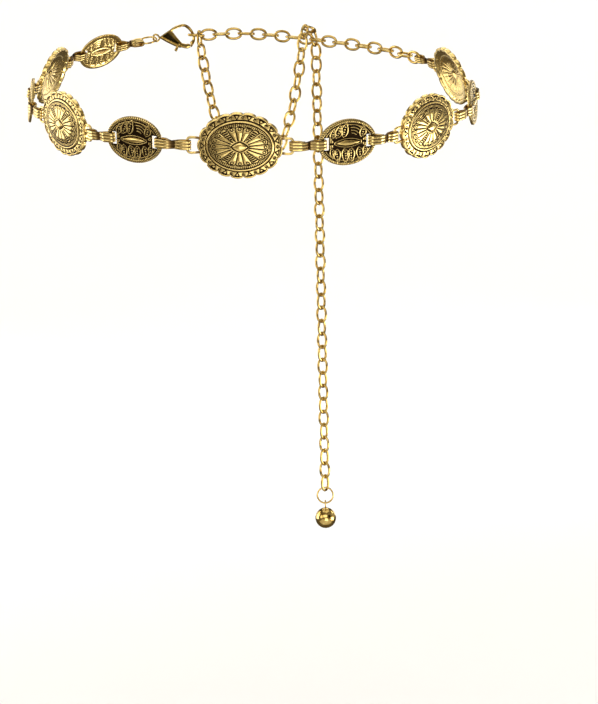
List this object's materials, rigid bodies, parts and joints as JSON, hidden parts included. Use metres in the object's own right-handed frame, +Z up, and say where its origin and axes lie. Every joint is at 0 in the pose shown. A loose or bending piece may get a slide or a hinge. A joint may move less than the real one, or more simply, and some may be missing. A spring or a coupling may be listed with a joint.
{
  "type": "chain belt",
  "caption": "Gold-tone chain belt of stamped oval conchos on ribbed hooks, closed by a lobster clasp, with a chain swag and a hanging tail that ends in a ball.",
  "frame": {"origin": "middle of the worn waist loop, which dips 22 degrees towards the front, where a waist holds the belt", "axes": "+Z up, -Y towards the front concho, +X towards the wearer's left; the tail and the swag hang along -Z"},
  "size_m": [0.2681, 0.2366, 0.3401],
  "materials": {
    "antique_gold": "gold-plated cast zinc alloy, relief polished and recesses darkened",
    "bright_gold": "bright gold plating on wire chain, clasp, ring and ball"
  },
  "bodies": {
    "belt": {"chain_over_1": "bright_gold", "chain_swag_1": "bright_gold", "chain_swag_2": "bright_gold", "chain_swag_3": "bright_gold", "chain_swag_4": "bright_gold", "chain_swag_5": "bright_gold", "chain_swag_6": "bright_gold", "chain_tail_1": "bright_gold", "chain_tail_2": "bright_gold", "chain_tail_3": "bright_gold", "chain_tail_4": "bright_gold", "chain_tail_5": "bright_gold", "chain_tail_6": "bright_gold", "chain_tail_7": "bright_gold", "chain_tail_8": "bright_gold", "chain_tail_9": "bright_gold", "chain_waist_1": "bright_gold", "chain_waist_2": "bright_gold", "chain_waist_3": "bright_gold", "chain_waist_4": "bright_gold", "chain_waist_5": "bright_gold", "clasp_body": "bright_gold", "concho_large_1": "antique_gold", "concho_large_2": "antique_gold", "concho_large_3": "antique_gold", "concho_large_4": "antique_gold", "concho_large_5": "antique_gold", "concho_small_1": "antique_gold", "concho_small_2": "antique_gold", "concho_small_3": "antique_gold", "concho_small_4": "antique_gold", "concho_small_5": "antique_gold", "hook_01": "antique_gold", "hook_02": "antique_gold", "hook_03": "antique_gold", "hook_04": "antique_gold", "hook_05": "antique_gold", "hook_06": "antique_gold", "hook_07": "antique_gold", "hook_08": "antique_gold", "hook_09": "antique_gold", "hook_10": "antique_gold", "hook_11": "antique_gold", "jump_ring": "bright_gold"},
    "lever": {"clasp_lever": "bright_gold"},
    "ring": {"end_ring": "bright_gold"},
    "pendant": {"ball": "bright_gold"}
  },
  "joints": [
    {"name": "lever_pivot", "type": "hinge", "parent": "belt", "child": "lever", "pos_m": [-0.0491, 0.10441, 0.04141], "axis": [0.4848, -0.8746, 0], "range_deg": [0, 24], "stiffness_Nm_per_rad": 0.02, "springref_deg": -17.19},
    {"name": "ring_swing", "type": "hinge", "parent": "belt", "child": "ring", "pos_m": [0.04235, 0.1086, -0.25897], "axis": [0, 1, 0], "range_deg": [-45, 45]},
    {"name": "ball_swing", "type": "hinge", "parent": "ring", "child": "pendant", "pos_m": [0.04235, 0.1086, -0.26786], "axis": [1, 0, 0], "range_deg": [-60, 60]}
  ]
}
